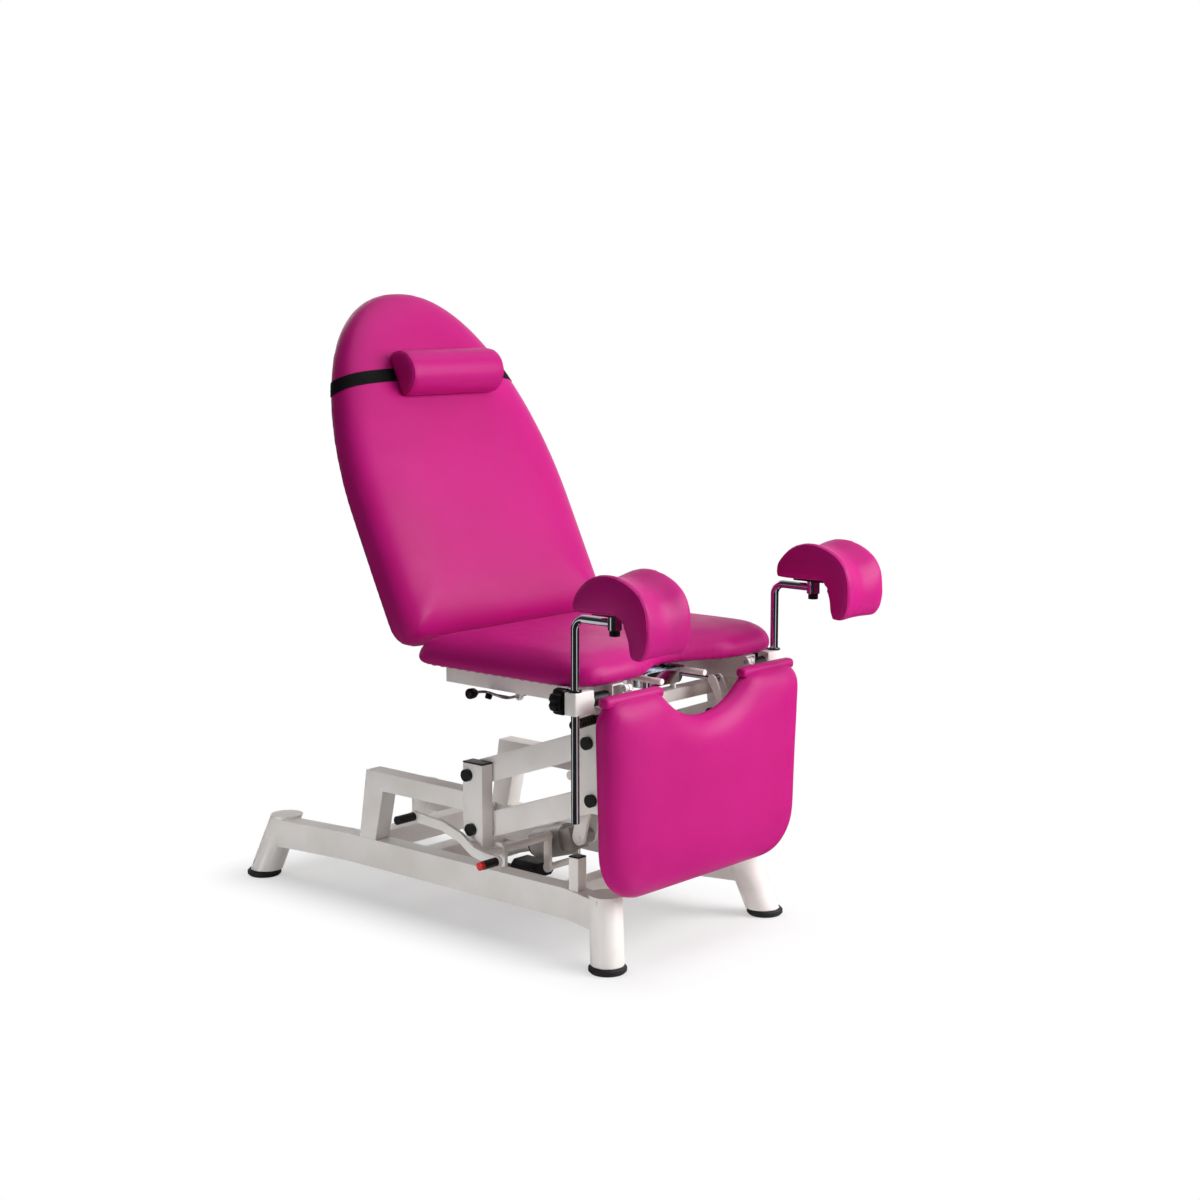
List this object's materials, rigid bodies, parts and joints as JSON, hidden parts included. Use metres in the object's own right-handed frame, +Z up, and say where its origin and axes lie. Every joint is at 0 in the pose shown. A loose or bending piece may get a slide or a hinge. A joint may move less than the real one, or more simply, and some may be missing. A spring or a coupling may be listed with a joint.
{
  "type": "gynecological chair",
  "caption": "Examination chair with lifting base, reclining egg-shaped back, notched swinging leg panel and two adjustable padded knee crutches.",
  "frame": {"origin": "centre of the bounding box on the floor, on the chair's middle plane", "axes": "+Z up, -Y towards the leg panel and knee crutches, +X to the patient's left"},
  "size_m": [0.74, 1.236, 1.2688],
  "materials": {
    "painted_steel": "satin powder coat",
    "rubber": "matt",
    "black_plastic": "fine moulded grain",
    "red_plastic": "gloss",
    "steel": "turned",
    "pump_grey": "satin",
    "chrome": "polished",
    "plywood": "raw",
    "vinyl": "magenta upholstery vinyl",
    "elastic": "woven"
  },
  "bodies": {
    "base": {"side_rail_right": "painted_steel", "side_rail_left": "painted_steel", "base_cross_tubes": "painted_steel", "rubber_feet": "rubber", "lift_bracket_right": "painted_steel", "lift_bracket_left": "painted_steel", "pivot_post_right": "painted_steel", "pivot_post_left": "painted_steel", "tube_end_caps": "black_plastic", "base_pivot_bolts": "black_plastic", "pump_reservoir": "black_plastic"},
    "lower_arms": {"lower_arm_right": "painted_steel", "lower_arm_left": "painted_steel", "lower_arm_tie": "painted_steel", "lower_arm_bushes": "steel"},
    "upper_arms": {"upper_arm_right": "painted_steel", "upper_arm_left": "painted_steel", "upper_arm_tie": "painted_steel", "upper_arm_bushes": "steel"},
    "pump_barrel": {"pump_cylinder": "pump_grey", "pump_collar": "black_plastic"},
    "pump_rod": {"pump_ram": "painted_steel"},
    "pedals": {"pedal_rocker": "painted_steel", "pedal_grips": "black_plastic", "pedal_red_tips": "red_plastic"},
    "carriage": {"upright_right": "painted_steel", "upright_left": "painted_steel", "carriage_pivot_bolts": "black_plastic", "seat_rails": "painted_steel", "seat_cross_tubes": "painted_steel", "hinge_pins": "steel", "seat_board": "plywood", "seat_cushion": "vinyl", "basin_guides": "painted_steel", "back_spring_tube": "black_plastic", "leg_spring_tube": "pump_grey", "crutch_holder_right": "painted_steel", "crutch_holder_left": "painted_steel"},
    "basin_tray": {"basin": "chrome"},
    "backrest": {"back_frame": "painted_steel", "back_board": "plywood", "back_cushion": "vinyl"},
    "back_gas_rod": {"back_spring_rod": "chrome"},
    "pillow": {"head_pillow": "vinyl", "pillow_strap": "elastic"},
    "leg_panel": {"leg_frame": "painted_steel", "leg_board": "plywood", "leg_cushion": "vinyl"},
    "leg_gas_rod": {"leg_spring_rod": "chrome"},
    "release_lever": {"back_release_lever": "black_plastic"},
    "bush_right": {"crutch_bush_right": "black_plastic"},
    "crutch_right": {"crutch_rod_right": "chrome"},
    "knee_rest_right": {"knee_pad_right": "vinyl", "knee_bracket_right": "black_plastic"},
    "knob_right": {"star_knob_right": "black_plastic"},
    "bush_left": {"crutch_bush_left": "black_plastic"},
    "crutch_left": {"crutch_rod_left": "chrome"},
    "knee_rest_left": {"knee_pad_left": "vinyl", "knee_bracket_left": "black_plastic"},
    "knob_left": {"star_knob_left": "black_plastic"}
  },
  "joints": [
    {"name": "lift", "type": "hinge", "parent": "base", "child": "lower_arms", "pos_m": [0, -0.034, 0.204], "axis": [-1, 0, 0], "range_deg": [0, 45]},
    {"name": "upper_arm_swing", "type": "hinge", "parent": "base", "child": "upper_arms", "pos_m": [0, -0.024, 0.314], "axis": [-1, 0, 0], "range_deg": [0, 45]},
    {"name": "carriage_level", "type": "hinge", "parent": "lower_arms", "child": "carriage", "pos_m": [0, -0.35509, 0.31581], "axis": [-1, 0, 0], "range_deg": [-45, 0]},
    {"name": "pump_rod_tilt", "type": "hinge", "parent": "base", "child": "pump_rod", "pos_m": [0, 0.079, 0.098], "axis": [-1, 0, 0], "range_deg": [0, 20]},
    {"name": "pump_barrel_tilt", "type": "hinge", "parent": "lower_arms", "child": "pump_barrel", "pos_m": [0, -0.141, 0.165], "axis": [-1, 0, 0], "range_deg": [-28, 0]},
    {"name": "pedal_rock", "type": "hinge", "parent": "base", "child": "pedals", "pos_m": [0, -0.078, 0.162], "axis": [-1, 0, 0], "range_deg": [-12, 12], "stiffness_Nm_per_rad": 60},
    {"name": "back_recline", "type": "hinge", "parent": "carriage", "child": "backrest", "pos_m": [0, 0.06101, 0.561], "axis": [-1, 0, 0], "range_deg": [-10, 64]},
    {"name": "back_rod_level", "type": "hinge", "parent": "backrest", "child": "back_gas_rod", "pos_m": [-0.07, 0.08601, 0.506], "axis": [-1, 0, 0], "range_deg": [-64, 10]},
    {"name": "pillow_slide", "type": "slide", "parent": "backrest", "child": "pillow", "axis": [0, 0.4368, 0.8996], "range_m": [0, 0.04]},
    {"name": "leg_panel_swing", "type": "hinge", "parent": "carriage", "child": "leg_panel", "pos_m": [0, -0.41399, 0.536], "axis": [-1, 0, 0], "range_deg": [0, 90]},
    {"name": "leg_rod_level", "type": "hinge", "parent": "leg_panel", "child": "leg_gas_rod", "pos_m": [0.118, -0.38429, 0.5063], "axis": [-1, 0, 0], "range_deg": [-90, 0]},
    {"name": "basin_slide", "type": "slide", "parent": "carriage", "child": "basin_tray", "axis": [0, -1, 0], "range_m": [0, 0.12]},
    {"name": "release_lever_turn", "type": "hinge", "parent": "carriage", "child": "release_lever", "pos_m": [-0.2, -0.14999, 0.487], "axis": [1, 0, 0], "range_deg": [0, 12], "stiffness_Nm_per_rad": 1.5},
    {"name": "crutch_swivel_right", "type": "hinge", "parent": "carriage", "child": "bush_right", "pos_m": [-0.306, -0.38999, 0.52], "axis": [0, 0, 1], "range_deg": [-60, 60]},
    {"name": "crutch_height_right", "type": "slide", "parent": "bush_right", "child": "crutch_right", "axis": [0, 0, 1], "range_m": [-0.02, 0.1]},
    {"name": "knee_rest_turn_right", "type": "hinge", "parent": "crutch_right", "child": "knee_rest_right", "pos_m": [-0.306, -0.48599, 0.68], "axis": [0, 0, 1], "range_deg": [-30, 30]},
    {"name": "clamp_knob_right", "type": "hinge", "parent": "carriage", "child": "knob_right", "pos_m": [-0.306, -0.37599, 0.5205], "axis": [0, 1, 0], "continuous": true},
    {"name": "crutch_swivel_left", "type": "hinge", "parent": "carriage", "child": "bush_left", "pos_m": [0.306, -0.38999, 0.52], "axis": [0, 0, 1], "range_deg": [-60, 60]},
    {"name": "crutch_height_left", "type": "slide", "parent": "bush_left", "child": "crutch_left", "axis": [0, 0, 1], "range_m": [-0.02, 0.1]},
    {"name": "knee_rest_turn_left", "type": "hinge", "parent": "crutch_left", "child": "knee_rest_left", "pos_m": [0.306, -0.48599, 0.68], "axis": [0, 0, 1], "range_deg": [-30, 30]},
    {"name": "clamp_knob_left", "type": "hinge", "parent": "carriage", "child": "knob_left", "pos_m": [0.306, -0.37599, 0.5205], "axis": [0, 1, 0], "continuous": true}
  ],
  "couplings": [
    {"joint": "upper_arm_swing", "follows": "lift", "ratio": 1},
    {"joint": "carriage_level", "follows": "lift", "ratio": -1},
    {"joint": "pump_rod_tilt", "follows": "lift", "ratio": 0.412},
    {"joint": "pump_barrel_tilt", "follows": "lift", "ratio": -0.588},
    {"joint": "back_rod_level", "follows": "back_recline", "ratio": -1},
    {"joint": "leg_rod_level", "follows": "leg_panel_swing", "ratio": -1}
  ]
}
